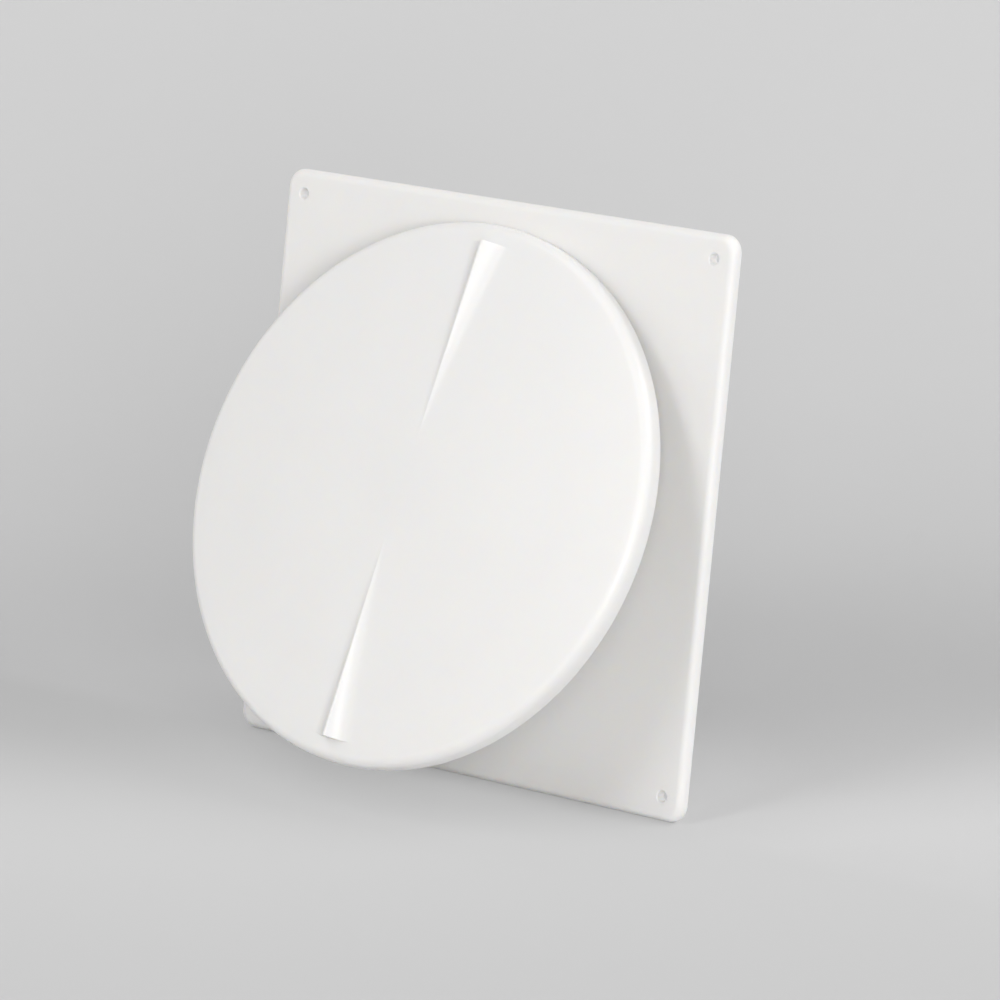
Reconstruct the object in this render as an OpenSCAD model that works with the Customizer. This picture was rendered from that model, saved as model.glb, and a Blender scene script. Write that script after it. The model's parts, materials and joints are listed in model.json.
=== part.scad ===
// Wall disc valve: a square plate with a duct collar behind it, and a domed disc in front
// that screws in and out on a coarse spindle and tips on a knuckle at its centre.
// Millimetres. X runs to the right, Y into the wall and Z up. The origin is the middle of
// the four screw holes, on the plane of the wall.

/* [Wall plate] */
// Side of the square plate
plate_w = 165; // [150:1:200]
// Depth of the plate from the wall to its face
plate_t = 3.4; // [3.2:0.1:5]
// Radius of the plate's corners, seen from the front
corner_r = 5.2; // [4:0.1:12]
// Radius of the rounded front edge
edge_r = 2.3; // [1.5:0.1:2.6]
// Thickness of the plate's moulded wall
plate_wall = 2; // [1.6:0.1:2.4]
// Distance between two neighbouring screw holes
hole_pitch = 151; // [140:1:152]
// Diameter of the screw holes
hole_d = 3.2; // [3:0.1:4]
// Diameter of the chamfer at the mouth of a screw hole
sink_d = 3.8; // [3.4:0.1:6.4]

/* [Duct collar] */
// Outer diameter of the collar that slides into the duct
collar_d = 98; // [90:0.5:120]
// Thickness of the collar's wall
collar_wall = 2; // [1.6:0.1:3]
// Length of the collar behind the wall's plane
collar_len = 45; // [44:1:80]
// Thickness of the four arms that carry the hub
arm_w = 2.6; // [2:0.1:4]
// Diameter of the hub
hub_d = 24; // [23:0.5:30]
// Length of the hub
hub_len = 18; // [14:0.5:20]

/* [Disc] */
// Diameter of the disc
disc_d = 158.6; // [150:0.2:164]
// Height of the disc's straight rim
rim_h = 3.5; // [2.5:0.1:5]
// Radius between the rim and the face
shoulder_r = 3.2; // [2.8:0.1:4]
// Height of the middle of the face above the back of the rim
disc_h = 12.1; // [11:0.1:14]
// Thickness of the disc's moulded wall
disc_wall = 2.2; // [1.8:0.1:2.4]
// Number of ribs on the disc's back
rib_count = 8; // [4:2:12]

/* [Grip ridges] */
// Distance from the centre to the outer end of a ridge
ridge_end = 73.4; // [66:0.2:74]
// How far the crest falls from the centre to its outer end
crest_fall = 0.75; // [0.6:0.05:1.6]
// Width of a ridge over both flanks at its outer end
ridge_w = 16; // [10:0.5:20]
// Width of the crest at its outer end
crest_w = 0.7; // [0.4:0.1:2.4]
// How quickly the flanks fall away from the crest
flank_power = 3; // [1.5:0.1:4]

/* [Spindle and knuckle] */
// Outer diameter of the spindle's thread
spindle_d = 12; // [10:0.5:14]
// Height of the knuckle pin above the back of the rim
pivot_h = 4.6; // [4.4:0.1:5]
// Diameter of the knuckle pin
pin_d = 3; // [2.5:0.1:4]
// Width of the spindle's eye
eye_w = 8; // [6:0.5:9]
// Radius of the spindle's eye
eye_r = 4; // [3.5:0.1:4.2]

/* [Pose] */
// Distance from the plate's face to the knuckle pin as the valve stands open
open_gap = 27.6; // [27.6:0.1:29]
// Lean of the disc, its upper rim towards the plate
tilt = 16.8; // [0:0.1:16.8]
// Turn of the disc, clockwise from the front
turn = 2.4; // [-90:0.1:90]

/* [Hidden] */
$fn = 96;

shell_white = [0.93, 0.93, 0.91];
part_white = [0.88, 0.88, 0.84];
foam_grey = [0.36, 0.37, 0.38];
steel_grey = [0.66, 0.67, 0.69];

// Running clearance on the radius of a shaft, and the gap between parts that pass
fit = 0.05;
gap = 0.3;
// A little more, so that a cut passes right through a face
over = 0.5;

// Plate and collar
recess = plate_t - plate_wall;
skirt_w = 2.2;
boss_d = 9;
back_rib_w = 1.6;
collar_land = 3;
collar_r = collar_d / 2;
bore_r = collar_r - collar_wall;
lip_r = 1;
lead_in = 1.2;
sink_depth = (sink_d - hole_d) / 2;

// Hub and bush
hub_front = 1;
hub_back = hub_front - hub_len;
arm_front = 0;
arm_back = hub_back + 1;
bush_d = 16;
flange_d = 21;
flange_t = 1.6;
thread_bore_d = spindle_d + 2 * fit;

// Knuckle
pivot_z = plate_t + open_gap;
neck_len = 6;
neck_t = 7;
shaft_end = hub_back;
shaft_chamfer = 1.2;
cheek_t = 3;
cheek_gap = eye_w + 2 * gap;
cheek_r = 4.2;
cheek_base = 12;
pin_len = cheek_gap + 2 * cheek_t + 1;
cheek_root = disc_h - disc_wall / 2;

// Stop at the spindle's inner end
washer_t = 1.5;
washer_d = 20;
nose_d = 8;
nose_len = washer_t + 2 * gap;
head_d = 11;
head_t = 2.4;
head_chamfer = 0.8;
screw_d = 4;
screw_len = 14;
slot_w = 1.2;
slot_depth = 1;

// Disc shell: the dome's arc runs tangent into the arc of the shoulder
disc_r = disc_d / 2;
boss_rib_r = 12;
rib_w = 1.8;
rib_back = 2.4;
land_r = 59;
land_w = 6;
land_back = 2.2;
seal_t = 3;
rise = disc_h - rim_h;
run = disc_r - shoulder_r;
dome_r = (run * run + rise * rise - shoulder_r * shoulder_r) / (2 * (rise - shoulder_r));
dome_centre = disc_h - dome_r;

// Height of the face at a distance r from the disc's axis
function face_z(r) = dome_centre + sqrt(dome_r * dome_r - r * r);

// Ridges: stations along the crest, and places across it as shares of the half width
ridge_start = 9;
ridge_stations = 14;
ridge_sink = 0.06;
ridge_root = 1.5;
ridge_across = [0, 0.04, 0.1, 0.18, 0.28, 0.4, 0.55, 0.75, 1];

function crest_z(y) = disc_h - crest_fall * y / ridge_end;
function half_width(y) = ridge_w / 2 * y / ridge_end;
function crest_share() = crest_w / ridge_w;
function flank(share) = share <= crest_share() ? 1
    : pow(1 - (share - crest_share()) / (1 - crest_share()), flank_power);
function ridge_z(x, y, share) = let (base = face_z(norm([x, y])) - ridge_sink)
    base + (crest_z(y) - face_z(y) + ridge_sink) * flank(share);
function station_y(i) = ridge_start + (ridge_end + over - ridge_start) * i / ridge_stations;

// Lays a piece that is drawn with its axis up on to the wall, facing the room
module on_wall() {
    rotate([90, 0, 0])
    children();
}

// Carries a piece that is drawn about the knuckle pin to the open, leaning disc
module on_knuckle() {
    on_wall()
    translate([0, 0, pivot_z])
    rotate([0, 0, -turn])
    rotate([-tilt, 0, 0])
    children();
}

// Carries a piece that is drawn from the back of the disc's rim
module on_disc() {
    on_knuckle()
    translate([0, 0, -pivot_h])
    children();
}

// Carries a piece of the spindle, which turns with the disc but doesn't lean
module on_spindle() {
    on_wall()
    rotate([0, 0, -turn])
    children();
}

module at_screws() {
    for (x = [-1, 1], y = [-1, 1])
        translate([x * hole_pitch / 2, y * hole_pitch / 2, 0])
        children();
}

module rounded_square(side, r) {
    square([side, side - 2 * r], center = true);
    square([side - 2 * r, side], center = true);
    for (x = [-1, 1], y = [-1, 1])
        translate([x * (side / 2 - r), y * (side / 2 - r)])
        circle(r);
}

// Quarter round of the front edge, its outside at x = r
module edge_section(r) {
    intersection() {
        translate([r - edge_r, 0])
        circle(edge_r);
        square([r, edge_r]);
    }
    square([r - edge_r, edge_r]);
}

// Flat slab with round corners and a rounded front edge
module edged_slab() {
    inner = plate_w / 2 - corner_r;
    straight = plate_t - edge_r;
    linear_extrude(straight)
    rounded_square(plate_w, corner_r);
    translate([0, 0, straight]) {
        linear_extrude(edge_r)
        square(2 * inner, center = true);
        for (x = [-1, 1], y = [-1, 1])
            translate([x * inner, y * inner, 0])
            rotate_extrude()
            edge_section(corner_r);
        for (a = [0, 90, 180, 270])
            rotate([0, 0, a])
            translate([inner, inner, 0])
            rotate([90, 0, 0])
            linear_extrude(2 * inner)
            edge_section(corner_r);
    }
}

// Shallow recess behind the plate, around its ribs, its screw bosses and the collar's land
module recess_cut() {
    difference() {
        translate([0, 0, -over])
        linear_extrude(recess + over)
        rounded_square(plate_w - 2 * skirt_w, corner_r - skirt_w);
        translate([0, 0, -2 * over])
        linear_extrude(recess + 3 * over) {
            at_screws()
            circle(d = boss_d);
            circle(collar_r + collar_land);
            for (a = [0, 45, 90, 135])
                rotate(a)
                square([plate_w * sqrt(2), back_rib_w], center = true);
        }
    }
}

// Rounds the edge of the round opening in the plate's face
module lip_cut() {
    translate([0, 0, plate_t - lip_r])
    rotate_extrude()
    difference() {
        square([bore_r + lip_r, lip_r + over]);
        translate([bore_r + lip_r, 0])
        circle(lip_r);
    }
}

module screw_hole() {
    translate([0, 0, -over])
    cylinder(d = hole_d, h = plate_t + 2 * over);
    translate([0, 0, plate_t - sink_depth])
    cylinder(d1 = hole_d, d2 = sink_d, h = sink_depth);
}

module collar() {
    difference() {
        union() {
            translate([0, 0, -collar_len + lead_in])
            cylinder(r = collar_r, h = collar_len - lead_in + recess);
            translate([0, 0, -collar_len])
            cylinder(r1 = collar_r - lead_in / 2, r2 = collar_r, h = lead_in);
        }
        translate([0, 0, -collar_len - over])
        cylinder(r = bore_r, h = collar_len + plate_t + 2 * over);
    }
}

module spider() {
    difference() {
        union() {
            translate([0, 0, hub_back])
            cylinder(d = hub_d, h = hub_len);
            for (a = [45, 135])
                rotate([0, 0, a])
                translate([0, 0, (arm_front + arm_back) / 2])
                cube([2 * bore_r + collar_wall, arm_w, arm_front - arm_back], center = true);
        }
        translate([0, 0, hub_back - over])
        cylinder(d = bush_d, h = hub_len + 2 * over);
    }
}

// Plate, collar, arms and hub are one moulding, hollow behind
module wall_plate() {
    color(shell_white)
    on_wall() {
        difference() {
            edged_slab();
            recess_cut();
            translate([0, 0, -over])
            cylinder(r = bore_r, h = plate_t + 2 * over);
            lip_cut();
            at_screws()
            screw_hole();
        }
        collar();
        spider();
    }
}

// Hard bush pressed into the hub; the spindle's thread runs in it
module threaded_bush() {
    color(part_white)
    on_wall()
    difference() {
        union() {
            translate([0, 0, hub_back])
            cylinder(d = bush_d, h = hub_len);
            translate([0, 0, hub_front])
            cylinder(d = flange_d, h = flange_t);
        }
        translate([0, 0, hub_back - over])
        cylinder(d = thread_bore_d, h = hub_len + flange_t + 2 * over);
    }
}

// Spindle: an eye across its front end, a flat neck, the threaded shaft and a short nose
module spindle() {
    shaft_front = pivot_z - neck_len;
    color(part_white)
    on_spindle()
    difference() {
        union() {
            translate([0, 0, pivot_z])
            rotate([0, 90, 0])
            cylinder(r = eye_r, h = eye_w, center = true);
            translate([-eye_w / 2, -neck_t / 2, shaft_front - over])
            cube([eye_w, neck_t, neck_len + over]);
            translate([0, 0, shaft_front - shaft_chamfer])
            cylinder(d1 = spindle_d, d2 = spindle_d - 2 * shaft_chamfer, h = shaft_chamfer);
            translate([0, 0, shaft_end])
            cylinder(d = spindle_d, h = shaft_front - shaft_chamfer - shaft_end);
            translate([0, 0, shaft_end - nose_len])
            cylinder(d = nose_d, h = nose_len + over);
        }
        translate([0, 0, pivot_z])
        rotate([0, 90, 0])
        cylinder(d = pin_d + 2 * fit, h = eye_w + 2 * over, center = true);
        translate([0, 0, shaft_end - nose_len - over])
        cylinder(d = screw_d, h = screw_len + over);
    }
}

// Loose washer between the hub and the head of the screw
module stop_washer() {
    color(part_white)
    on_wall()
    translate([0, 0, shaft_end - gap - washer_t])
    difference() {
        cylinder(d = washer_d, h = washer_t);
        translate([0, 0, -over])
        cylinder(d = nose_d + 2 * fit, h = washer_t + 2 * over);
    }
}

// Slotted screw that holds the washer on the spindle's nose
module stop_screw() {
    head_front = shaft_end - nose_len;
    color(steel_grey)
    on_spindle()
    difference() {
        union() {
            translate([0, 0, head_front - head_t])
            cylinder(d1 = head_d - 2 * head_chamfer, d2 = head_d, h = head_chamfer);
            translate([0, 0, head_front - head_t + head_chamfer])
            cylinder(d = head_d, h = head_t - head_chamfer);
            translate([0, 0, head_front])
            cylinder(d = screw_d, h = screw_len - over);
        }
        translate([-head_d / 2 - over, -slot_w / 2, head_front - head_t - over])
        cube([head_d + 2 * over, slot_w, slot_depth + over]);
    }
}

// Half section of a domed cap with a straight rim, its radius and heights given
module cap_section(r, shoulder, top) {
    arc_r = dome_r - (disc_h - top);
    join = asin((r - shoulder) / (arc_r - shoulder));
    intersection() {
        translate([0, dome_centre])
        circle(arc_r, $fn = 1440);
        square([arc_r * sin(join), top + over]);
    }
    intersection() {
        translate([r - shoulder, rim_h])
        circle(shoulder);
        translate([r - 2 * shoulder, rim_h])
        square(2 * shoulder);
    }
    translate([0, -over])
    square([r, rim_h + over]);
}

// The cap that lies a given depth inside the face, and open at the back
module inner_cap(depth) {
    rotate_extrude($fn = 180)
    cap_section(disc_r - depth, shoulder_r - depth, disc_h - depth);
}

// Loft of one grip ridge, from near the centre outwards along +Y: its crest stays almost
// level while the dome falls away under it, and its flanks sweep down into the face
module ridge_loft() {
    across = [for (i = [len(ridge_across) - 1:-1:1]) -ridge_across[i],
        for (s = ridge_across) s];
    ring = len(across) + 2;
    points = [for (i = [0:ridge_stations])
        let (y = station_y(i), w = half_width(y))
        each concat(
            [for (s = across) [s * w, y, ridge_z(s * w, y, abs(s))]],
            [[w, y, face_z(norm([w, y])) - ridge_root], [-w, y, face_z(norm([w, y])) - ridge_root]]
        )];
    sides = [for (i = [0:ridge_stations - 1], j = [0:ring - 1])
        let (a = i * ring + j, b = i * ring + (j + 1) % ring)
        each [[a, a + ring, b], [b, a + ring, b + ring]]];
    near_end = [for (j = [0:ring - 1]) j];
    far_end = [for (j = [ring - 1:-1:0]) ridge_stations * ring + j];
    polyhedron(points, concat(sides, [near_end, far_end]), convexity = 4);
}

// Grip ridge with its outer end cut off square
module ridge() {
    intersection() {
        ridge_loft();
        translate([-ridge_w, 0, 0])
        cube([2 * ridge_w, ridge_end, disc_h + over]);
    }
}

// Ribs, the land for the seal and the ring round the knuckle, rooted in the shell's wall
module disc_ribs() {
    intersection() {
        inner_cap(disc_wall / 2);
        union() {
            translate([0, 0, rib_back])
            linear_extrude(disc_h)
            for (i = [0:rib_count - 1])
                rotate((i + 0.5) * 360 / rib_count)
                translate([boss_rib_r - rib_w / 2, -rib_w / 2])
                square([disc_r - boss_rib_r, rib_w]);
            translate([0, 0, land_back])
            rotate_extrude()
            translate([land_r - land_w, 0])
            square([land_w, disc_h]);
            translate([0, 0, rib_back])
            rotate_extrude()
            translate([boss_rib_r - rib_w, 0])
            square([rib_w, disc_h]);
        }
    }
}

// The two cheeks that hold the knuckle pin
module cheeks() {
    difference() {
        for (side = [-1, 1])
            translate([side * (cheek_gap + cheek_t) / 2, 0, 0]) {
                translate([0, 0, pivot_h])
                rotate([0, 90, 0])
                cylinder(r = cheek_r, h = cheek_t, center = true);
                rotate([90, 0, 90])
                translate([0, 0, -cheek_t / 2])
                linear_extrude(cheek_t)
                polygon([[-cheek_r, pivot_h], [cheek_r, pivot_h],
                    [cheek_base / 2, cheek_root], [-cheek_base / 2, cheek_root]]);
            }
        translate([0, 0, pivot_h])
        rotate([0, 90, 0])
        cylinder(d = pin_d, h = 3 * cheek_gap, center = true);
    }
}

// Disc: a thin domed shell with a rounded rim, grip ridges in front and ribs behind
module disc() {
    color(shell_white)
    on_disc() {
        difference() {
            rotate_extrude($fn = 180)
            intersection() {
                cap_section(disc_r, shoulder_r, disc_h);
                square([disc_r + over, disc_h + over]);
            }
            inner_cap(disc_wall);
        }
        for (a = [0, 180])
            rotate([0, 0, a])
            ridge();
        disc_ribs();
        cheeks();
    }
}

// Foam ring that closes on the plate round the opening
module disc_seal() {
    color(foam_grey)
    on_disc()
    translate([0, 0, land_back - seal_t])
    rotate_extrude()
    translate([land_r - land_w, 0])
    square([land_w, seal_t]);
}

module knuckle_pin() {
    color(steel_grey)
    on_knuckle()
    rotate([0, 90, 0])
    cylinder(d = pin_d, h = pin_len, center = true);
}

wall_plate();
threaded_bush();
spindle();
stop_washer();
stop_screw();
disc();
disc_seal();
knuckle_pin();
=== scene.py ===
import json
import math

import bmesh
import bpy
import numpy as np
from mathutils import Matrix, Vector

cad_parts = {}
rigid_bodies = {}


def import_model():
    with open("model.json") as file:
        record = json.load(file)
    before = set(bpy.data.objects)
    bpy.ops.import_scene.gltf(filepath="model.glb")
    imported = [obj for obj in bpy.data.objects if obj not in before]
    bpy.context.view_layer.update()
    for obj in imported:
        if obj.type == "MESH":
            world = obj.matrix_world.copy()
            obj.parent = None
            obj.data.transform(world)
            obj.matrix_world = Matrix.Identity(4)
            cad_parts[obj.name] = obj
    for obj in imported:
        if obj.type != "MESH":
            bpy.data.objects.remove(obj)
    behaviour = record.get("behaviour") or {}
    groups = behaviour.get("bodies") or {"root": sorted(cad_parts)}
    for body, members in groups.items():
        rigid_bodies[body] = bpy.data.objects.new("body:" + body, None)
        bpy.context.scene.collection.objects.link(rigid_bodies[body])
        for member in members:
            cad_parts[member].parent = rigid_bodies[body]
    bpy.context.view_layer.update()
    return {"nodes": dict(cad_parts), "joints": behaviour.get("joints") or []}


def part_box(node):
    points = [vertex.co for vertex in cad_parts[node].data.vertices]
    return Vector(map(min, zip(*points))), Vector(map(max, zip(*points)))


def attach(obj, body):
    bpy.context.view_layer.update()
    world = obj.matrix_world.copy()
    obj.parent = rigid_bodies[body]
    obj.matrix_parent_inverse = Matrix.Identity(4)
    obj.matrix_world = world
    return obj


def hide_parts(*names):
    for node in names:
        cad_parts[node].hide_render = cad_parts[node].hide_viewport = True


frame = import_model()

# Camera: a level one with a long lens, far off, to the right of the valve and a little above
# it. The valve stands on the floor on its plate's lower edge and leans back a little, so the
# floor's own axes are turned by that lean from the valve's.
mm = 0.001
lean_back = math.radians(8.343)
camera_place = Vector((1147.9, -1371.5, 424.6)) * mm
camera_azimuth = math.radians(39.806)
camera_drop = math.radians(13.458)

on_floor = Matrix.Rotation(lean_back, 4, "X")
camera_data = bpy.data.cameras.new("camera")
camera_data.sensor_width = 36
camera_data.lens = 232.1
camera = bpy.data.objects.new("camera", camera_data)
camera.matrix_world = (
    on_floor
    @ Matrix.Translation(camera_place)
    @ Matrix.Rotation(camera_azimuth, 4, "Z")
    @ Matrix.Rotation(math.pi / 2 - camera_drop, 4, "X")
)
bpy.context.scene.collection.objects.link(camera)
bpy.context.scene.camera = camera
bpy.context.scene.view_settings.view_transform = "Standard"

# Floor and backdrop: one pale sweep of paper, which the plate stands on with its lower edge
# and which rises in a wide curve behind it, nearly square to the camera. Its colour is painted
# lighter near the valve and has a band of painted shade where it bends up. Part of what shows
# of it is a painted glow, darker along that band, which lightens the shadows on it, but less at
# the plate's foot and just behind it.


class Flow:
    """A value on its way through a node tree. The operators add Math nodes."""

    def __init__(self, tree, socket=None):
        self.tree = tree
        self.socket = socket

    def node(self, kind, settings=None, sockets=None, output=0):
        """Adds a node, sets its settings and then its sockets, and gives one output."""
        made = self.tree.nodes.new(kind)
        for name, value in (settings or {}).items():
            if name == "stops":
                self.set_stops(made.color_ramp, value)
            else:
                setattr(made, name, value)
        for name, value in (sockets or {}).items():
            if isinstance(value, Flow):
                self.tree.links.new(value.socket, made.inputs[name])
            else:
                made.inputs[name].default_value = value
        return Flow(self.tree, made.outputs[output])

    @staticmethod
    def set_stops(ramp, stops):
        while len(ramp.elements) < len(stops):
            ramp.elements.new(1)
        for element, (position, level) in zip(ramp.elements, stops):
            element.position = position
            element.color = (level, level, level, 1)
        ramp.interpolation = "B_SPLINE"

    def math(self, operation, *values):
        return self.node("ShaderNodeMath", {"operation": operation}, dict(enumerate(values)))

    def __add__(self, other):
        return self.math("ADD", self, other)

    def __radd__(self, other):
        return self.math("ADD", other, self)

    def __sub__(self, other):
        return self.math("SUBTRACT", self, other)

    def __rsub__(self, other):
        return self.math("SUBTRACT", other, self)

    def __mul__(self, other):
        return self.math("MULTIPLY", self, other)

    def __rmul__(self, other):
        return self.math("MULTIPLY", other, self)

    def __truediv__(self, other):
        return self.math("DIVIDE", self, other)

    def __rtruediv__(self, other):
        return self.math("DIVIDE", other, self)

    def __pow__(self, other):
        return self.math("POWER", self, other)


def new_finish(name, **plain):
    """A material, its Principled shader with the unchanging sockets set, and a Flow for it."""
    material = bpy.data.materials.new(name)
    material.use_nodes = True
    shader = material.node_tree.nodes["Principled BSDF"]
    for socket, value in plain.items():
        shader.inputs[socket.replace("_", " ")].default_value = value
    return material, shader, Flow(material.node_tree)


def feed(shader, **inputs):
    """Links each flow into the shader's socket of that name."""
    for name, flow in inputs.items():
        flow.tree.links.new(flow.socket, shader.inputs[name.replace("_", " ")])


# Runs and ways along the sweep are in metres from the valve, away from the camera
sweep_near = -3.5
sweep_bend = 0.1
sweep_radius = 0.6
sweep_top = 2.4
sweep_half_width = 2.6
sweep_skew = math.radians(4)
# The paper's shaded and lit colours, which its ramp mixes into painted shade and painted light
paper_shaded = (0.52, 0.523, 0.53, 1)
paper_lit = (0.733, 0.736, 0.743, 1)
ramp_from = -0.6
ramp_to = 1.0
floor_step = 0.04
bend_steps = 48
# Painted light and shade along the sweep: lighter near the valve, and a band of painted shade
# where the paper bends up
paper_painted_shading = (
    (-0.25, 0.25),
    (-0.12, 0.65),
    (-0.04, 1.0),
    (0.03, 0.65),
    (0.09, 0.15),
    (0.16, 0.0),
    (0.24, 0.25),
    (0.42, 0.55),
    (0.75, 0.7),
)
# Share of painted glow in the paper that the camera sees, by depth from the plate: low at the
# plate's foot and just behind it, so the shadows there stay dark, higher in front, where it
# lightens the shadows, and highest far in front
painted_glow_shares = (
    (-0.6, 0.92),
    (-0.3, 0.55),
    (-0.06, 0.72),
    (-0.016, 0.76),
    (-0.008, 0.64),
    (-0.003, 0.4),
    (0.03, 0.28),
    (0.1, 0.34),
    (0.22, 0.5),
)
# Brightness of the painted glow along the sweep, darker in a band of painted shade at the bend
painted_glow_levels = (
    (-0.18, 0.605),
    (-0.08, 0.64),
    (-0.02, 0.6),
    (0.04, 0.48),
    (0.1, 0.455),
    (0.16, 0.485),
    (0.22, 0.53),
    (0.33, 0.61),
    (0.6, 0.665),
)
stood_on = Vector((0, 0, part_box("wall_plate")[0].z))

# Points of the sweep's section, each with its run, its rise and its way along the paper
bend_angles = np.linspace(0, math.pi / 2, bend_steps + 1)
sweep_section = [(sweep_near, 0.0, sweep_near)]
sweep_section += [(run, 0.0, run) for run in np.arange(ramp_from, sweep_bend - 0.01, floor_step)]
sweep_section += [
    (
        sweep_bend + sweep_radius * math.sin(a),
        sweep_radius * (1 - math.cos(a)),
        sweep_bend + sweep_radius * a,
    )
    for a in bend_angles
]
last_run, last_rise, last_way = sweep_section[-1]
sweep_section.append((last_run, sweep_top, last_way + sweep_top - last_rise))
toward_camera = on_floor @ Matrix.Rotation(camera_azimuth - sweep_skew, 4, "Z")
sweep_points = [
    stood_on + toward_camera @ Vector((side * sweep_half_width, run, rise))
    for run, rise, way in sweep_section
    for side in (-1, 1)
]
sweep_faces = [
    (2 * i, 2 * i + 1, 2 * i + 3, 2 * i + 2) for i in range(len(sweep_section) - 1)
]
sweep_mesh = bpy.data.meshes.new("paper_sweep")
sweep_mesh.from_pydata(sweep_points, [], sweep_faces)
sweep_mesh.shade_smooth()
way_along = sweep_mesh.attributes.new("way_along", "FLOAT", "POINT")
ways = [way for run, rise, way in sweep_section for side in (-1, 1)]
way_along.data.foreach_set("value", ways)


def level_at(position, stops):
    """The level of a ramp at a position in metres. Its stops are (metres, level) pairs."""
    reach = ramp_to - ramp_from
    shares = [((at - ramp_from) / reach, level) for at, level in stops]
    share = (position - ramp_from) / reach
    return position.node("ShaderNodeValToRGB", {"stops": shares}, {"Fac": share})


def looked_at(flow):
    """1 where the camera, a gloss or a clear piece looks, 0 for all other light."""
    kinds = ("Is Camera Ray", "Is Glossy Ray", "Is Transmission Ray")
    seen, mirrored, through = (flow.node("ShaderNodeLightPath", output=kind) for kind in kinds)
    return seen.math("MAXIMUM", seen, seen.math("MAXIMUM", mirrored, through))


paper, shader, flow = new_finish("paper_sweep", Roughness=0.9)
way = flow.node("ShaderNodeAttribute", {"attribute_name": "way_along"}, output="Fac")
# Painted light near the valve and a band of painted shade at the bend
painted_lightness = level_at(way, paper_painted_shading)
tone = flow.node(
    "ShaderNodeMix",
    {"data_type": "RGBA"},
    {"Factor": painted_lightness, "A": paper_shaded, "B": paper_lit},
    output="Result",
)
feed(shader, Base_Color=tone)
# A painted glow on part of the paper, which lightens the shadows on it
painted_light_glow = flow.node("ShaderNodeEmission", None, {"Color": level_at(way, painted_glow_levels)})
place = flow.node("ShaderNodeTexCoord", output="Object")
depth = flow.node("ShaderNodeSeparateXYZ", None, {"Vector": place}, output="Y")
share = level_at(depth, painted_glow_shares) * looked_at(flow)
sheet = flow.node(
    "ShaderNodeMixShader",
    None,
    {0: share, 1: Flow(paper.node_tree, shader.outputs[0]), 2: painted_light_glow},
)
# From behind the sheet is clear, so that the valve's back can be looked at
from_behind = flow.node("ShaderNodeNewGeometry", output="Backfacing")
camera_ray = flow.node("ShaderNodeLightPath", output="Is Camera Ray")
one_sided = flow.node(
    "ShaderNodeMixShader",
    None,
    {0: camera_ray * from_behind, 1: sheet, 2: flow.node("ShaderNodeBsdfTransparent")},
)
paper.node_tree.links.new(one_sided.socket, paper.node_tree.nodes["Material Output"].inputs[0])
sweep_mesh.materials.append(paper)
sweep = bpy.data.objects.new("paper_sweep", sweep_mesh)
bpy.context.scene.collection.objects.link(sweep)

# Light: a plain soft surround and five soft boxes round the valve. A low one stands beside
# the camera, and the key and the top one are in front, a little to the left, so that the
# disc's shadow falls to the right on the plate.
surround_strength = 0.16
surround_colour = (1.0, 0.94, 0.87, 1)
backdrop_colour = (0.6, 0.602, 0.61, 1)
lamp_distance = 2.2
surround = bpy.data.worlds.new("surround")
surround.use_nodes = True
surround_tree = surround.node_tree
flow = Flow(surround_tree)
plain = flow.node(
    "ShaderNodeBackground", None, {"Color": surround_colour, "Strength": surround_strength}
)
backdrop = flow.node("ShaderNodeBackground", None, {"Color": backdrop_colour})
both = flow.node("ShaderNodeMixShader", None, {0: looked_at(flow), 1: plain, 2: backdrop})
surround_tree.links.new(both.socket, surround_tree.nodes["World Output"].inputs[0])
bpy.context.scene.world = surround


def soft_box(name, azimuth, elevation, width, power):
    """A square soft box turned to the valve. Its azimuth, in degrees, counts from straight in
    front of the plate to the right."""
    lamp = bpy.data.lights.new(name, "AREA")
    lamp.shape = "SQUARE"
    lamp.size = width
    lamp.energy = power
    holder = bpy.data.objects.new(name, lamp)
    turn_out = Matrix.Rotation(math.radians(azimuth), 4, "Z")
    tip = Matrix.Rotation(math.radians(90 - elevation), 4, "X")
    out = Matrix.Translation((0, 0, lamp_distance))
    holder.matrix_world = on_floor @ turn_out @ tip @ out
    bpy.context.scene.collection.objects.link(holder)


soft_box("soft_box_key", -8, 38, 0.65, 7.7)
soft_box("soft_box_top", -27, 61, 1.0, 9.0)
soft_box("soft_box_camera", 47, 13, 0.95, 24.3)
soft_box("soft_box_left", -72, 30, 0.9, 2.8)
soft_box("soft_box_behind", 124, 44, 1.2, 18.0)

# Wall plate: one moulding in white plastic, with the plate, its four screw holes, the
# duct collar, the arms and the hub. Its skin is satin, from a finely eroded mould.
plate_w = 165
plate_t = 3.4
plate_wall = 2
corner_r = 5.2
edge_r = 2.3
skirt_w = 2.2
hole_pitch = 151
hole_d = 3.2
sink_d = 3.8
boss_d = 9
back_rib_w = 1.6
collar_r = 49
bore_r = 47
collar_len = 45
collar_land = 3
lead_in = 1.2
lip_r = 1
hub_front = 1
hub_back = -17
hub_r = 12
bush_r = 8
arm_w = 2.6
soft_edge = 0.35
# Points round each loop of the plate, and how many of them lie on one corner
plate_columns = 240
corner_columns = 32
side_columns = plate_columns // 4 - corner_columns

white_deep = (0.858, 0.853, 0.846, 1)
white_pale = (0.876, 0.872, 0.866, 1)
white_gloss = (0.38, 0.46)
drift_size = 30 * mm
erosion_size = 0.5 * mm
erosion_depth = 0.01 * mm

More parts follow.
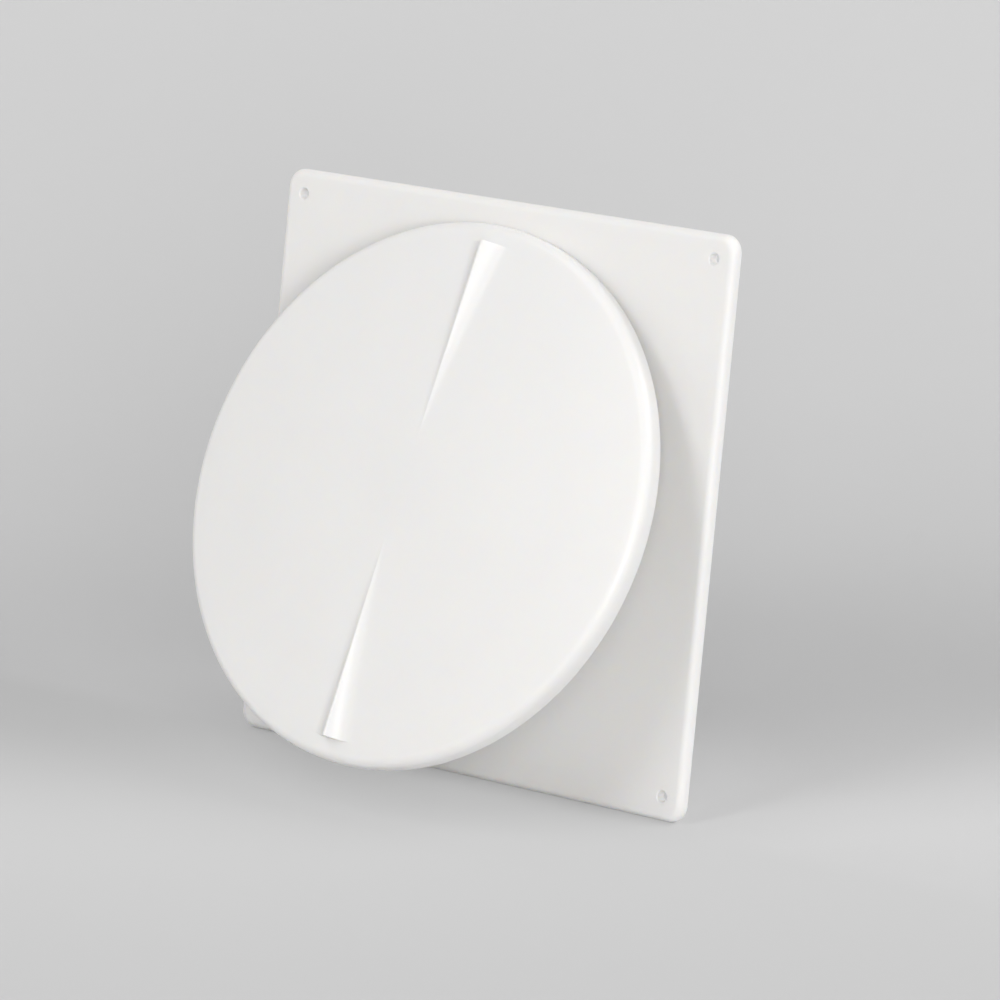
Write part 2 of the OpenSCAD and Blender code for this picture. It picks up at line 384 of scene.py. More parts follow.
white_plastic, shader, flow = new_finish(
    "white_plastic",
    IOR=1.5,
    Subsurface_Weight=0.5,
    Subsurface_Radius=(1.0, 0.85, 0.65),
    Subsurface_Scale=2.5 * mm,
)
place = flow.node("ShaderNodeTexCoord", output="Object")
drift = flow.node("ShaderNodeTexNoise", None, {"Vector": place, "Scale": 1 / drift_size})
erosion = flow.node(
    "ShaderNodeTexNoise", None, {"Vector": place, "Scale": 1 / erosion_size, "Detail": 1.0}
)
tone = flow.node(
    "ShaderNodeMix",
    {"data_type": "RGBA"},
    {"Factor": drift, "A": white_deep, "B": white_pale},
    output="Result",
)
gloss = white_gloss[0] + (white_gloss[1] - white_gloss[0]) * drift
skin = flow.node("ShaderNodeBump", None, {"Height": erosion, "Distance": erosion_depth})
feed(shader, Base_Color=tone, Roughness=gloss, Normal=skin)

# Pieces are drawn in millimetres with their axis up, and then laid on the wall. Edges that
# turn by more than the crisp angle are rounded on slabs.
crisp_angle = 0.6
on_wall = Matrix.Rotation(math.pi / 2, 4, "X") @ Matrix.Scale(mm, 4)


def arc(centre, radius, start, stop, steps):
    """Points of an arc from one angle to another, in degrees."""
    angles = np.radians(np.linspace(start, stop, steps + 1))
    return [
        (centre[0] + radius * math.cos(a), centre[1] + radius * math.sin(a)) for a in angles
    ]


def rounded(corners, steps=4):
    """A closed outline with its corners, given as (x, y, radius), rounded by arcs."""
    outline = []
    for i, (x, y, radius) in enumerate(corners):
        if not radius:
            outline.append((x, y))
            continue
        here = Vector((x, y))
        back = (Vector(corners[i - 1][:2]) - here).normalized()
        ahead = (Vector(corners[(i + 1) % len(corners)][:2]) - here).normalized()
        half = back.angle(ahead) / 2
        centre = here + (back + ahead).normalized() * radius / math.sin(half)
        first = here + back * radius / math.tan(half) - centre
        last = here + ahead * radius / math.tan(half) - centre
        start = math.degrees(math.atan2(first.y, first.x))
        swing = math.degrees(math.atan2(last.y, last.x)) - start
        swing = (swing + 180) % 360 - 180
        outline += arc(centre, radius, start, start + swing, steps)
    return outline


def mesh_of(name, points, faces):
    """A mesh with its doubled points merged and its faces turned outwards."""
    draft = bmesh.new()
    corners = [draft.verts.new(p) for p in points]
    for face in faces:
        draft.faces.new([corners[i] for i in face])
    bmesh.ops.remove_doubles(draft, verts=draft.verts, dist=1e-5)
    bmesh.ops.recalc_face_normals(draft, faces=draft.faces)
    loose = [edge for edge in draft.edges if not edge.link_faces]
    bmesh.ops.delete(draft, geom=loose, context="EDGES")
    mesh = bpy.data.meshes.new(name)
    draft.to_mesh(mesh)
    draft.free()
    return mesh


def skin_of(name, loops):
    """A closed skin over loops of equal length, the last joined to the first."""
    count = len(loops[0])
    faces = []
    for i in range(len(loops)):
        here = i * count
        ahead = (i + 1) % len(loops) * count
        for j in range(count):
            k = (j + 1) % count
            faces.append((here + j, here + k, ahead + k, ahead + j))
    return mesh_of(name, [point for loop in loops for point in loop], faces)


def turned(name, section, columns=96):
    """A closed half section of (radius, height) points, turned about the axis."""
    angles = np.linspace(0, 2 * math.pi, columns, endpoint=False)
    loops = [[(r * math.cos(a), r * math.sin(a), z) for a in angles] for r, z in section]
    return skin_of(name, loops)


def slab(name, outline, thickness, edge):
    """An outline of (y, z) points, thick along X, with its edges rounded."""
    draft = bmesh.new()
    base = draft.faces.new([draft.verts.new((-thickness / 2, y, z)) for y, z in outline])
    pulled = bmesh.ops.extrude_face_region(draft, geom=[base])["geom"]
    far = [item for item in pulled if isinstance(item, bmesh.types.BMVert)]
    bmesh.ops.translate(draft, verts=far, vec=(thickness, 0, 0))
    bmesh.ops.recalc_face_normals(draft, faces=draft.faces)
    crisp = [e for e in draft.edges if e.is_manifold and e.calc_face_angle() > crisp_angle]
    bmesh.ops.bevel(draft, geom=crisp, offset=edge, segments=3, profile=0.5, affect="EDGES")
    mesh = bpy.data.meshes.new(name)
    draft.to_mesh(mesh)
    draft.free()
    return mesh


def moved(mesh, matrix):
    """A copy of the mesh, moved."""
    copy = mesh.copy()
    copy.transform(matrix)
    return copy


def combined(mesh, other, operation):
    """One closed skin of two: the other's shape is added, UNION, or cut out, DIFFERENCE."""
    block = bpy.data.objects.new("block", mesh)
    tool = bpy.data.objects.new("tool", other)
    for item in (block, tool):
        bpy.context.scene.collection.objects.link(item)
    modifier = block.modifiers.new("combine", "BOOLEAN")
    modifier.operation = operation
    modifier.solver = "MANIFOLD"
    modifier.object = tool
    graph = bpy.context.evaluated_depsgraph_get()
    result = bpy.data.meshes.new_from_object(block.evaluated_get(graph))
    for item in (block, tool):
        bpy.data.objects.remove(item)
    return result


def carved(mesh, tool):
    """The mesh with the tool's shape cut out of it."""
    return combined(mesh, tool, "DIFFERENCE")


def grown(mesh, *others):
    """The mesh with the others' shapes moulded on, one after the other."""
    for other in others:
        mesh = combined(mesh, other, "UNION")
    return mesh


def add_piece(node, mesh, material, matrix, crease=40):
    """Puts a mesh in the place of a CAD node, on the same body."""
    mesh.transform(matrix)
    mesh.materials.clear()
    mesh.materials.append(material)
    mesh.shade_smooth()
    mesh.set_sharp_from_angle(angle=math.radians(crease))
    piece = bpy.data.objects.new(node + "_visual", mesh)
    bpy.context.scene.collection.objects.link(piece)
    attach(piece, frame["nodes"][node].parent.name.removeprefix("body:"))
    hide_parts(node)


def new_rule(name, **sockets):
    """A geometry node group, and a Flow for its geometry and each of its named values."""
    tree = bpy.data.node_groups.new(name, "GeometryNodeTree")
    kinds = {"Geometry": "Geometry", **sockets, "Material": "Material"}
    for label, kind in kinds.items():
        tree.interface.new_socket(
            label.replace("_", " "), in_out="INPUT", socket_type="NodeSocket" + kind
        )
    tree.interface.new_socket("Geometry", in_out="OUTPUT", socket_type="NodeSocketGeometry")
    entry = tree.nodes.new("NodeGroupInput")
    values = {label: Flow(tree, entry.outputs[i]) for i, label in enumerate(kinds)}
    return tree, values


def end_rule(tree, geometry, values):
    """Ends a rule with realized instances in its material."""
    real = geometry.node("GeometryNodeRealizeInstances", None, {"Geometry": geometry})
    done = real.node(
        "GeometryNodeSetMaterial", None, {"Geometry": real, "Material": values["Material"]}
    )
    leave = tree.nodes.new("NodeGroupOutput")
    tree.links.new(done.socket, leave.inputs[0])


def follow(tree, mesh, **values):
    """Runs a mesh through a rule with these values and gives the mesh that comes out."""
    carrier = bpy.data.objects.new(tree.name, mesh)
    bpy.context.scene.collection.objects.link(carrier)
    modifier = carrier.modifiers.new(tree.name, "NODES")
    modifier.node_group = tree
    for item in tree.interface.items_tree:
        label = item.name.replace(" ", "_")
        if item.in_out == "INPUT" and label in values:
            modifier[item.identifier] = values[label]
    graph = bpy.context.evaluated_depsgraph_get()
    result = bpy.data.meshes.new_from_object(carrier.evaluated_get(graph))
    carrier.modifiers.remove(modifier)
    bpy.data.objects.remove(carrier)
    return result


ring_rule, value = new_rule("set_round_the_axis", Count="Int", First_Angle="Float")
number = value["Count"].node("GeometryNodeInputIndex")
angle = value["First_Angle"] + 2 * math.pi * number / value["Count"]
around = angle.node("ShaderNodeCombineXYZ", None, {"Z": angle})
spots = angle.node("GeometryNodePoints", None, {"Count": value["Count"]})
set_out = angle.node(
    "GeometryNodeInstanceOnPoints",
    None,
    {"Points": spots, "Instance": value["Geometry"], "Rotation": around},
)
end_rule(ring_rule, set_out, value)


def square_loop(half, corner, z):
    """A square with round corners, in as many points as a round loop has."""
    inner = half - corner
    loop = []
    for a in (0, 90, 180, 270):
        spin = Matrix.Rotation(math.radians(a), 2)
        side = [(half, -inner + 2 * inner * k / side_columns) for k in range(1, side_columns)]
        bow = arc((inner, inner), corner, 0, 90, corner_columns)
        loop += [(*(spin @ Vector(p)), z) for p in side + bow]
    return loop


def round_loop(r, z):
    """A circle whose points lie opposite those of a square loop."""
    share = 0.5
    loop = []
    for a in (0, 90, 180, 270):
        side = np.linspace(-45 * share, 45 * share, side_columns + 1)[1:-1]
        bow = np.linspace(45 * share, 90 - 45 * share, corner_columns + 1)
        for b in np.radians([*side, *bow]) + math.radians(a):
            loop.append((r * math.cos(b), r * math.sin(b), z))
    return loop


half = plate_w / 2
recess = plate_t - plate_wall
hold = 0.25
loops = [square_loop(half, corner_r, 0.2)]
for y, z in arc((0, plate_t - edge_r), edge_r, 0, 90, 12):
    loops.append(square_loop(half - edge_r + y, corner_r - edge_r + y, z))
loops.append(square_loop(half - edge_r - hold, corner_r - edge_r - hold, plate_t))
loops.append(round_loop(bore_r + lip_r + hold, plate_t))
loops += [
    round_loop(r, z) for r, z in arc((bore_r + lip_r, plate_t - lip_r), lip_r, 90, 180, 6)
]
loops.append(round_loop(bore_r, plate_t - lip_r - hold))
end = rounded(
    [
        (bore_r, -collar_len, 0.4),
        (collar_r - lead_in / 2, -collar_len, 0.4),
        (collar_r, -collar_len + lead_in, 0.4),
        (collar_r, 0, 0.2),
        (collar_r + collar_land, 0, soft_edge),
        (collar_r + collar_land, recess, 0.2),
        (collar_r + collar_land + 1, recess, 0),
        (bore_r, recess, 0),
    ]
)
loops += [round_loop(r, z) for r, z in end[:-1]]
inside = half - skirt_w
inside_r = corner_r - skirt_w
for inset, z in ((0.4, recess), (0.1, recess - 0.1), (0, recess - 0.4), (0, 0.2)):
    loops.append(square_loop(inside - inset, inside_r - inset, z))
loops.append(square_loop(inside + 0.2, inside_r + 0.2, 0))
loops.append(square_loop(half - 0.2, corner_r - 0.2, 0))
plate_mesh = skin_of("plate", loops)

sink_depth = (sink_d - hole_d) / 2
drill = turned(
    "drill",
    [
        (0, -1),
        (hole_d / 2, -1),
        (hole_d / 2, plate_t - sink_depth),
        (sink_d / 2, plate_t),
        (sink_d / 2 + 1, plate_t + 1),
        (0, plate_t + 1),
    ],
    48,
)
corner_reach = hole_pitch / 2 * math.sqrt(2)
drills = follow(
    ring_rule,
    moved(drill, Matrix.Translation((corner_reach, 0, 0))),
    Count=4,
    First_Angle=math.pi / 4,
    Material=white_plastic,
)
plate_mesh = carved(plate_mesh, drills)

boss = turned(
    "boss",
    rounded(
        [
            (hole_d / 2, 0, 0.2),
            (boss_d / 2, 0, 0.2),
            (boss_d / 2, recess + 0.1, 0),
            (hole_d / 2, recess + 0.1, 0),
        ]
    ),
    48,
)
bosses = follow(
    ring_rule,
    moved(boss, Matrix.Translation((corner_reach, 0, 0))),
    Count=4,
    First_Angle=math.pi / 4,
    Material=white_plastic,
)
rib_start = collar_r + collar_land - 0.5
along = Matrix.Rotation(-math.pi / 2, 4, "Z")


def back_rib(reach):
    """A rib on the back of the plate, from the collar's land outwards along X."""
    outline = [(rib_start, 0), (reach, 0), (reach, recess + 0.2), (rib_start, recess + 0.2)]
    return moved(slab("back_rib", outline, back_rib_w, 0.15), along)


side_ribs = follow(
    ring_rule, back_rib(inside + 0.3), Count=4, First_Angle=0.0, Material=white_plastic
)
near_ribs = follow(
    ring_rule,
    back_rib(corner_reach - boss_d / 2 + 0.3),
    Count=4,
    First_Angle=math.pi / 4,
    Material=white_plastic,
)
arm_outline = [(hub_r - 0.5, -16), (bore_r + 0.5, -16), (bore_r + 0.5, 0), (hub_r - 0.5, 0)]
arms = follow(
    ring_rule,
    moved(slab("arm", arm_outline, arm_w, 0.5), along),
    Count=4,
    First_Angle=math.pi / 4,
    Material=white_plastic,
)
hub = turned(
    "hub",
    rounded(
        [
            (bush_r, hub_back, 0.3),
            (hub_r, hub_back, 0.5),
            (hub_r, hub_front, 0.5),
            (bush_r, hub_front, 0.3),
        ]
    ),
)
plate_mesh = grown(plate_mesh, bosses, side_ribs, near_ribs, hub, arms)
add_piece("wall_plate", plate_mesh, white_plastic, on_wall, 30)

# Threaded bush: hard natural plastic, turned by moulding, pressed into the hub with its
# flange in front. The ridge of its coarse thread runs round inside the bore.
flange_r = 10.5
flange_t = 1.6
spindle_r = 6
thread_clear = 0.05
lead = 6
crest_gap = 1.1
ridge_crest = 1.8
ridge_root = 2.9

natural_deep = (0.72, 0.7, 0.63, 1)
natural_pale = (0.79, 0.77, 0.7, 1)
natural_gloss = (0.3, 0.42)
cloud_scale = 140.0
wax_scale = 1600.0
wax_depth = 0.012 * mm
natural_plastic, shader, flow = new_finish(
    "natural_plastic", IOR=1.48, Subsurface_Weight=0.25, Subsurface_Scale=1.2 * mm
)
place = flow.node("ShaderNodeTexCoord", output="Object")
cloud = flow.node(
    "ShaderNodeTexNoise", None, {"Vector": place, "Scale": cloud_scale, "Detail": 3.0}
)
wax = flow.node("ShaderNodeTexNoise", None, {"Vector": place, "Scale": wax_scale})
tone = flow.node(
    "ShaderNodeMix",
    {"data_type": "RGBA"},
    {"Factor": cloud, "A": natural_deep, "B": natural_pale},
    output="Result",
)
gloss = natural_gloss[0] + (natural_gloss[1] - natural_gloss[0]) * cloud
skin = flow.node("ShaderNodeBump", None, {"Height": wax, "Distance": wax_depth})
feed(shader, Base_Color=tone, Roughness=gloss, Normal=skin)

coil_rule, value = new_rule(
    "coil_round_the_axis",
    Radius="Float",
    Lead="Float",
    Start="Float",
    Turns="Float",
    Phase="Float",
    Taper="Float",
)
turns = value["Turns"]
coil = turns.node(
    "GeometryNodeCurveSpiral",
    None,
    {
        "Resolution": 72,
        "Rotations": turns,
        "Start Radius": value["Radius"],
        "End Radius": value["Radius"],
        "Height": value["Lead"] * turns,
        "Reverse": True,
    },
)
upright = turns.node("GeometryNodeSetCurveNormal", {"mode": "Z_UP"}, {"Curve": coil})
part_way = turns.node("GeometryNodeSplineParameter")
ends = turns.math("MINIMUM", part_way, 1 - part_way) * turns / value["Taper"]
swell = turns.math("MAXIMUM", turns.math("MINIMUM", ends, 1.0), 0.05)
profile = turns.node("GeometryNodeMeshToCurve", None, {"Mesh": value["Geometry"]})
swept = turns.node(
    "GeometryNodeCurveToMesh",
    None,
    {"Curve": upright, "Profile Curve": profile, "Fill Caps": True, "Scale": swell},
)
first_angle = value["Phase"] + 2 * math.pi * value["Start"] / value["Lead"]
spin = turns.node("ShaderNodeCombineXYZ", None, {"Z": first_angle})
lift = turns.node("ShaderNodeCombineXYZ", None, {"Z": value["Start"]})
set_up = turns.node(
    "GeometryNodeTransform", None, {"Geometry": swept, "Translation": lift, "Rotation": spin}
)
end_rule(coil_rule, set_up, value)


def thread_profile(height, root_width, crest_width):
    """Section of a thread's ridge as a loop of edges, its height outwards or, if below 0,
    inwards. Its root is sunk into the core."""
    root = math.copysign(0.2, height)
    points = [
        (root, -root_width / 2, 0),
        (-height, -crest_width / 2, 0),
        (-height, crest_width / 2, 0),
        (root, root_width / 2, 0),
    ]
    if height > 0:
        points.reverse()
    mesh = bpy.data.meshes.new("thread_profile")
    mesh.from_pydata(points, [(0, 1), (1, 2), (2, 3), (3, 0)], [])
    return mesh


bush_bore = spindle_r + thread_clear
bush_core = turned(
    "bush_core",
    rounded(
        [
            (bush_bore, hub_back, 0.4),
            (bush_r, hub_back, 0.4),
            (bush_r, hub_front + 0.1, 0),
            (flange_r, hub_front, 0.3),
            (flange_r, hub_front + flange_t, 0.5),
            (bush_bore, hub_front + flange_t, 0.4),
        ]
    ),
)
thread_start = hub_back + ridge_root / 2 + 0.3
thread_stop = hub_front + flange_t - ridge_root / 2 - 0.3
bush_thread = follow(
    coil_rule,
    thread_profile(-crest_gap, ridge_root, ridge_crest),
    Radius=float(bush_bore),
    Lead=float(lead),
    Start=thread_start,
    Turns=(thread_stop - thread_start) / lead,
    Phase=math.pi,
    Taper=0.2,
    Material=natural_plastic,
)
add_piece("threaded_bush", grown(bush_core, bush_thread), natural_plastic, on_wall)

# Spindle: the same natural plastic, with an eye for the knuckle pin on a flat neck, the
# coarse thread and a short nose that the stop washer sits on.
pivot_z = -frame["joints"][2]["pos_m"][1] / mm
neck_len = 6
neck_t = 7
eye_w = 8
eye_r = 4
pin_d = 3
pin_clear = 0.05
core_r = 4.8
thread_crest_r = 5.98
nose_r = 4
nose_len = 2.1
shaft_end = hub_back
screw_d = 4
screw_len = 14
tilt_axis = Vector(frame["joints"][2]["axis"])
turn = math.atan2(-tilt_axis.z, tilt_axis.x)
on_spindle = on_wall @ Matrix.Rotation(-turn, 4, "Z")

shaft_front = pivot_z - neck_len
spindle_core = turned(
    "spindle_core",
    rounded(
        [
            (screw_d / 2, shaft_end - nose_len, 0.2),
            (nose_r, shaft_end - nose_len, 0.3),
            (nose_r, shaft_end, 0.1),
            (core_r, shaft_end, 0.4),
            (core_r, shaft_front, 0.6),
            (0, shaft_front, 0),
            (0, shaft_end - nose_len + screw_len + 1, 0),
            (screw_d / 2, shaft_end - nose_len + screw_len, 0),
        ]
    ),
)
thread_start = shaft_end + ridge_root / 2
thread_stop = shaft_front - ridge_root / 2
spindle_thread = follow(
    coil_rule,
    thread_profile(thread_crest_r - core_r, ridge_root, ridge_crest),
    Radius=float(core_r),
    Lead=float(lead),
    Start=thread_start,
    Turns=(thread_stop - thread_start) / lead,
    Phase=turn,
    Taper=0.3,
    Material=natural_plastic,
)
lean_in = math.degrees(math.acos(neck_t / 2 / eye_r))
eye_outline = [
    (-neck_t / 2, shaft_front - 1),
    (neck_t / 2, shaft_front - 1),
    *arc((0, pivot_z), eye_r, -lean_in, 180 + lean_in, 40),
]
across = Matrix.Rotation(math.pi / 2, 4, "Y")
eye_bore_r = pin_d / 2 + pin_clear
eye_bore = turned("bore", [(0, -eye_w), (eye_bore_r, -eye_w), (eye_bore_r, eye_w), (0, eye_w)])
eye = carved(
    slab("eye", eye_outline, eye_w, 0.5),
    moved(eye_bore, Matrix.Translation((0, 0, pivot_z)) @ across),
)
add_piece("spindle", grown(spindle_core, spindle_thread, eye), natural_plastic, on_spindle)

# Stop washer: a loose ring of the same natural plastic, moulded flat. It sits on the
# spindle's nose behind the hub, and meets the hub to end the spindle's travel.
washer_r = 10
washer_t = 1.5
washer_gap = 0.3
washer_front = shaft_end - washer_gap
washer = turned(
    "stop_washer",
    rounded(
        [
            (nose_r + thread_clear, washer_front - washer_t, 0.25),
            (washer_r, washer_front - washer_t, 0.35),
            (washer_r, washer_front, 0.35),
            (nose_r + thread_clear, washer_front, 0.25),
        ]
    ),
)
add_piece("stop_washer", washer, natural_plastic, on_wall)

# Stop screw: zinc-plated steel, with a slotted head. It is driven into the spindle's end,
# where its head holds the washer on the nose.
head_r = 5.5
head_t = 2.4
head_chamfer = 0.8
slot_w = 1.2
slot_depth = 1

zinc_deep = (0.46, 0.47, 0.49, 1)
zinc_pale = (0.62, 0.63, 0.64, 1)
zinc_gloss = (0.26, 0.46)
crystal_scale = 2600.0
bloom_scale = 420.0
bloom_depth = 0.02 * mm
zinc_steel, shader, flow = new_finish("zinc_steel", Metallic=1.0)
place = flow.node("ShaderNodeTexCoord", output="Object")
crystal = flow.node(
    "ShaderNodeTexVoronoi", None, {"Vector": place, "Scale": crystal_scale}, "Color"
)
bloom = flow.node(
    "ShaderNodeTexNoise", None, {"Vector": place, "Scale": bloom_scale, "Detail": 4.0}
)
facets = flow.node("ShaderNodeSeparateColor", None, {"Color": crystal})
tone = flow.node(
    "ShaderNodeMix",
    {"data_type": "RGBA"},
    {"Factor": 0.6 * bloom + 0.4 * facets, "A": zinc_deep, "B": zinc_pale},
    output="Result",
)
gloss = zinc_gloss[0] + (zinc_gloss[1] - zinc_gloss[0]) * bloom
skin = flow.node("ShaderNodeBump", None, {"Height": bloom, "Distance": bloom_depth})
feed(shader, Base_Color=tone, Roughness=gloss, Normal=skin)

head_front = shaft_end - nose_len
screw_blank = turned(
    "screw_blank",
    rounded(
        [
            (0, head_front - head_t, 0),
            (head_r - head_chamfer, head_front - head_t, 0.3),
            (head_r, head_front - head_t + head_chamfer, 0.3),
            (head_r, head_front, 0.2),
            (screw_d / 2, head_front, 0),
            (screw_d / 2, head_front + screw_len - 1, 0.3),
            (0, head_front + screw_len - 1, 0),
        ]
    ),
)
slot_outline = [
    (-slot_w / 2, head_front - head_t - 1),
    (slot_w / 2, head_front - head_t - 1),
    (slot_w / 2, head_front - head_t + slot_depth),
    (-slot_w / 2, head_front - head_t + slot_depth),
]
screw = carved(screw_blank, slab("slot", slot_outline, 2 * head_r + 2, 0.02))
add_piece("stop_screw", screw, zinc_steel, on_spindle)

# Disc: one moulding in the same white plastic. The shell is a half section turned about the
# axis, raised along one diameter into two grip ridges; behind it are eight ribs, the land
# for the seal, a ring round the knuckle and the two cheeks that hold its pin.
disc_r = 79.3
rim_h = 3.5
shoulder_r = 3.2
disc_h = 12.1
disc_wall = 2.2
rib_count = 8
rib_w = 1.8
rib_back = 2.4
boss_rib_r = 12
land_r = 59
land_w = 6
land_back = 2.2
pivot_h = 4.6
cheek_t = 3
cheek_gap = 8.6
cheek_r = 4.2
cheek_base = 12
ridge_end = 73.4
ridge_w = 16.0
crest_w = 0.7
crest_fall = 0.75
flank_power = 3.0
ridge_blend = 0.03
end_slope = 24.0
# Points round each ring of the shell, and how far they crowd towards the ridges
disc_columns = 480
crowding = 0.9
lean = math.radians(frame["joints"][2]["range_deg"][1])
on_knuckle = (
    on_wall
    @ Matrix.Translation((0, 0, pivot_z))
    @ Matrix.Rotation(-turn, 4, "Z")
    @ Matrix.Rotation(-lean, 4, "X")
)
on_disc = on_knuckle @ Matrix.Translation((0, 0, -pivot_h))

rise = disc_h - rim_h
run = disc_r - shoulder_r
dome_r = (run**2 + rise**2 - shoulder_r**2) / (2 * (rise - shoulder_r))
dome_centre = disc_h - dome_r


def dome(r, depth=0):
    """A point of the dome at a distance from the axis, or a depth inside it."""
    return (r, dome_centre + math.sqrt((dome_r - depth) ** 2 - r**2))


def shoulder(depth, steps):
    """The arc between the dome and the straight rim, at a depth inside the skin."""
    join = math.degrees(math.atan2(rim_h - dome_centre, disc_r - shoulder_r))
    return arc((disc_r - shoulder_r, rim_h), shoulder_r - depth, join, 0, steps)


# Distances of the shell's rings from the axis, set close together where the ridges end
near_rings = [0, 4, 8]
ridge_rings = np.arange(10, ridge_end - 0.9, 1.0)
end_rings = ridge_end + np.array([-0.6, -0.3, -0.2, -0.15, -0.1, -0.05, 0, 0.05, 0.3, 0.9, 1.6])
front = [dome(r) for r in (*near_rings, *ridge_rings, *end_rings)] + shoulder(0, 12)
back = rounded(
    [
        (disc_r, rim_h - 0.5, 0),
        (disc_r, 0, 0.4),
        (disc_r - disc_wall, 0, 0.4),
        (disc_r - disc_wall, rim_h - 0.5, 0),
    ]
)
inner = shoulder(disc_wall, 6)[::-1] + [dome(r, disc_wall) for r in np.linspace(72, 0, 13)]
half_section = bpy.data.meshes.new("half_section")
half_section.from_pydata([(r, 0, z) for r, z in (*front, *back, *inner)], [], [])

shell_rule, value = new_rule(
    "turned_shell_with_ridges",
    Columns="Int",
    Crowding="Float",
    Front_Rings="Int",
    Dome_Radius="Float",
    Dome_Centre="Float",
    Crest_Height="Float",
    Crest_Fall="Float",
    Ridge_End="Float",
    Ridge_Width="Float",
    Crest_Width="Float",
    Flank_Power="Float",
    Blend="Float",
    End_Slope="Float",
)
section = value["Geometry"]
rings = section.node("GeometryNodeAttributeDomainSize", None, {"Geometry": section})
grid = section.node(
    "GeometryNodeMeshGrid",
    None,
    {"Size X": 1.0, "Size Y": 1.0, "Vertices X": value["Columns"] + 1, "Vertices Y": rings},
)
number = section.node("GeometryNodeInputIndex")
ring = number.math("MODULO", number, rings)
column = number.math("FLOOR", number / rings)
around = 2 * math.pi * column / value["Columns"]
angle = around + value["Crowding"] / 2 * around.math("SINE", 2 * around)
here = section.node("GeometryNodeInputPosition")
on_section = section.node(
    "GeometryNodeSampleIndex",
    {"data_type": "FLOAT_VECTOR"},
    {"Geometry": section, "Value": here, "Index": ring},
)
parts = section.tree.nodes.new("ShaderNodeSeparateXYZ")
section.tree.links.new(on_section.socket, parts.inputs[0])
radius = Flow(section.tree, parts.outputs["X"])
height = Flow(section.tree, parts.outputs["Z"])
x = radius * angle.math("COSINE", angle)
y = radius * angle.math("SINE", angle)

# Each ridge is a wedge: its flanks fall away with the slant from the crest line, the crest
# runs almost level, and the end is cut off at the ridge's length
reach = y.math("ABSOLUTE", y)
slant = x.math("ABSOLUTE", x) / y.math("MAXIMUM", reach, 0.001)
share = slant * 2 * value["Ridge_End"] / value["Ridge_Width"]
crest_share = value["Crest_Width"] / value["Ridge_Width"]
down = share.math("SUBTRACT", share, crest_share) / (1 - crest_share)
down = share.math("MINIMUM", share.math("MAXIMUM", down, 0.0), 1.0)
flank = (1 - down) ** value["Flank_Power"]
crest = value["Crest_Height"] - value["Crest_Fall"] * reach / value["Ridge_End"]
dome_height = value["Dome_Centre"] + (value["Dome_Radius"] ** 2 - reach**2) ** 0.5
raw = (crest - dome_height) * flank
blended = (raw + (raw**2 + value["Blend"] ** 2) ** 0.5 - value["Blend"]) / 2
end = (value["Ridge_End"] - radius) * value["End_Slope"]
cut_off = (blended + end - ((blended - end) ** 2 + value["Blend"] ** 2) ** 0.5) / 2
on_front = ring.math("LESS_THAN", ring, value["Front_Rings"])
lift = cut_off.math("MAXIMUM", cut_off, 0.0) * on_front
spot = section.node("ShaderNodeCombineXYZ", None, {"X": x, "Y": y, "Z": height + lift})
shaped = section.node("GeometryNodeSetPosition", None, {"Geometry": grid, "Position": spot})
closed = section.node(
    "GeometryNodeMergeByDistance", None, {"Geometry": shaped, "Distance": 0.0001}
)
turned_out = section.node("GeometryNodeFlipFaces", None, {"Mesh": closed})
end_rule(shell_rule, turned_out, value)

shell = follow(
    shell_rule,
    half_section,
    Columns=disc_columns,
    Crowding=crowding,
    Front_Rings=len(near_rings) + len(ridge_rings) + len(end_rings),
    Dome_Radius=dome_r,
    Dome_Centre=dome_centre,
    Crest_Height=disc_h,
    Crest_Fall=crest_fall,
    Ridge_End=ridge_end,
    Ridge_Width=ridge_w,
    Crest_Width=crest_w,
    Flank_Power=flank_power,
    Blend=ridge_blend,
    End_Slope=end_slope,
    Material=white_plastic,
)

mid_wall = disc_wall / 2
rib_top = [(r, z) for r, z in reversed(shoulder(mid_wall, 6))]
rib_top += [dome(r, mid_wall) for r in np.linspace(72, boss_rib_r - rib_w / 2, 16)]
rib_outline = [(rib_top[-1][0], rib_back), (disc_r - mid_wall, rib_back), *rib_top]
disc_ribs = follow(
    ring_rule,
    moved(slab("disc_rib", rib_outline, rib_w, 0.3), along),
    Count=rib_count,
    First_Angle=math.pi / rib_count,
    Material=white_plastic,
)
land_top = dome(land_r, disc_wall)[1] + 0.6
land = turned(
    "land",
    rounded(
        [
            (land_r - land_w, land_back, 0.3),
            (land_r, land_back, 0.3),
            (land_r, land_top, 0),
            (land_r - land_w, land_top + 0.6, 0),
        ]
    ),
    192,
)
boss_top = dome(boss_rib_r, mid_wall)[1]
boss_ring = turned(
    "boss_ring",
    rounded(
        [
            (boss_rib_r - rib_w, rib_back, 0.3),
            (boss_rib_r, rib_back, 0.3),
            (boss_rib_r, boss_top, 0),
            (boss_rib_r - rib_w, boss_top, 0),
        ]
    ),
)
cheek_root = disc_h - mid_wall
cheek_outline = [
    *arc((0, pivot_h), cheek_r, 180, 360, 40),
    (cheek_base / 2, cheek_root),
    (-cheek_base / 2, cheek_root),
]
pin_bore = turned("bore", [(0, -9), (pin_d / 2, -9), (pin_d / 2, 9), (0, 9)])
cheek = carved(
    slab("cheek", cheek_outline, cheek_t, 0.4),
    moved(pin_bore, Matrix.Translation((0, 0, pivot_h)) @ across),
)
cheek_x = (cheek_gap + cheek_t) / 2
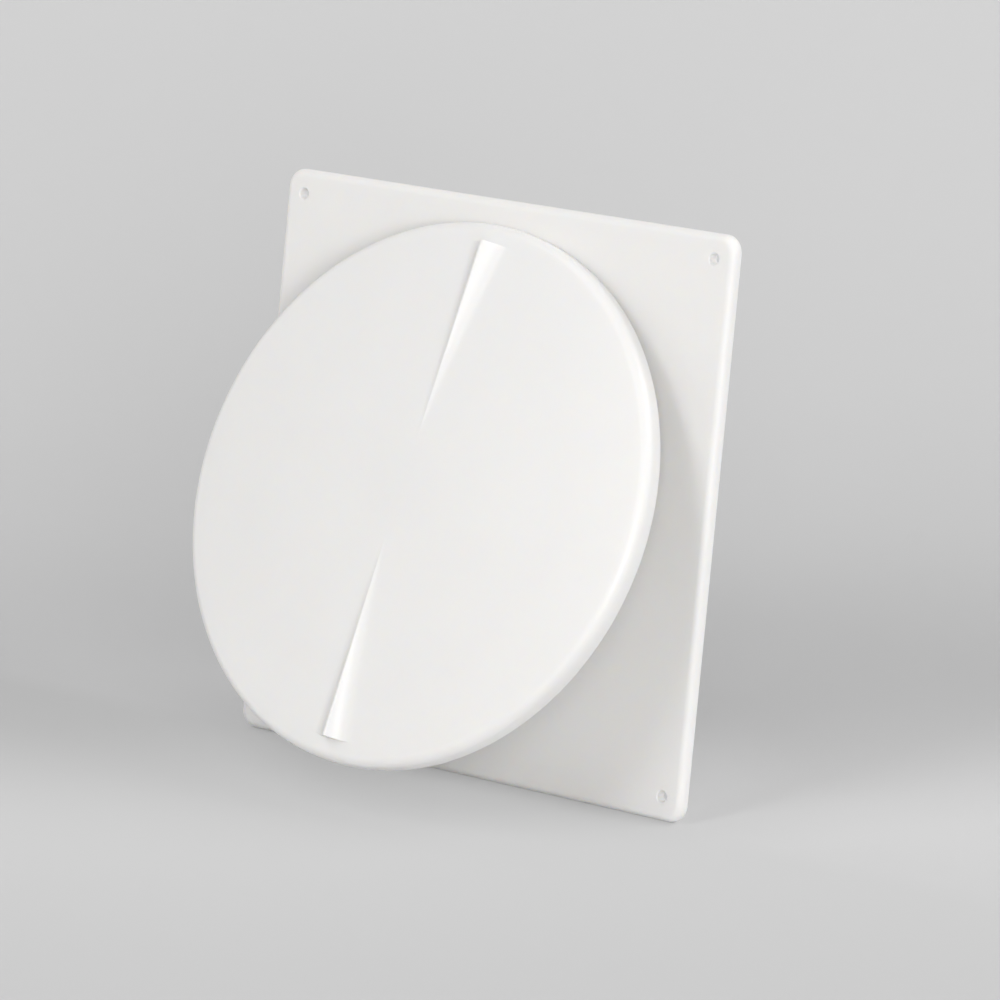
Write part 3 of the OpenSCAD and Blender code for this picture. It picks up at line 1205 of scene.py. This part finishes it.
cheeks = [moved(cheek, Matrix.Translation((side * cheek_x, 0, 0))) for side in (-1, 1)]
disc_mesh = grown(shell, land, boss_ring, disc_ribs, *cheeks)
add_piece("disc", disc_mesh, white_plastic, on_disc, 30)

# Disc seal: a ring of dark open foam, cut from a sheet and stuck on the land behind the
# disc. It closes on the plate round the opening.
seal_t = 3

foam_deep = (0.035, 0.036, 0.038, 1)
foam_pale = (0.13, 0.133, 0.138, 1)
cell_scale = 1500.0
lump_scale = 260.0
cell_depth = 0.25 * mm
seal_foam, shader, flow = new_finish("seal_foam", Roughness=0.95)
place = flow.node("ShaderNodeTexCoord", output="Object")
cells = flow.node(
    "ShaderNodeTexVoronoi", None, {"Vector": place, "Scale": cell_scale}, "Distance"
)
lumps = flow.node(
    "ShaderNodeTexNoise", None, {"Vector": place, "Scale": lump_scale, "Detail": 3.0}
)
walls = flow.node("ShaderNodeValToRGB", {"stops": ((0.1, 0), (0.7, 1))}, {"Fac": cells})
tone = flow.node(
    "ShaderNodeMix",
    {"data_type": "RGBA"},
    {"Factor": 0.7 * walls + 0.3 * lumps, "A": foam_deep, "B": foam_pale},
    output="Result",
)
skin = flow.node("ShaderNodeBump", None, {"Height": walls, "Distance": cell_depth})
feed(shader, Base_Color=tone, Normal=skin)

seal_back = land_back - seal_t
seal = turned(
    "disc_seal",
    rounded(
        [
            (land_r - land_w, seal_back, 0.5),
            (land_r, seal_back, 0.5),
            (land_r, land_back, 0.1),
            (land_r - land_w, land_back, 0.1),
        ]
    ),
    240,
)
add_piece("disc_seal", seal, seal_foam, on_disc)

# Knuckle pin: a plain zinc-plated steel pin with rounded ends, pressed through both of the
# disc's cheeks. The spindle's eye swings on it.
pin_len = 15.6
pin = turned(
    "knuckle_pin",
    rounded(
        [
            (0, -pin_len / 2, 0),
            (pin_d / 2, -pin_len / 2, 0.4),
            (pin_d / 2, pin_len / 2, 0.4),
            (0, pin_len / 2, 0),
        ]
    ),
    48,
)
add_piece("knuckle_pin", moved(pin, across), zinc_steel, on_knuckle)
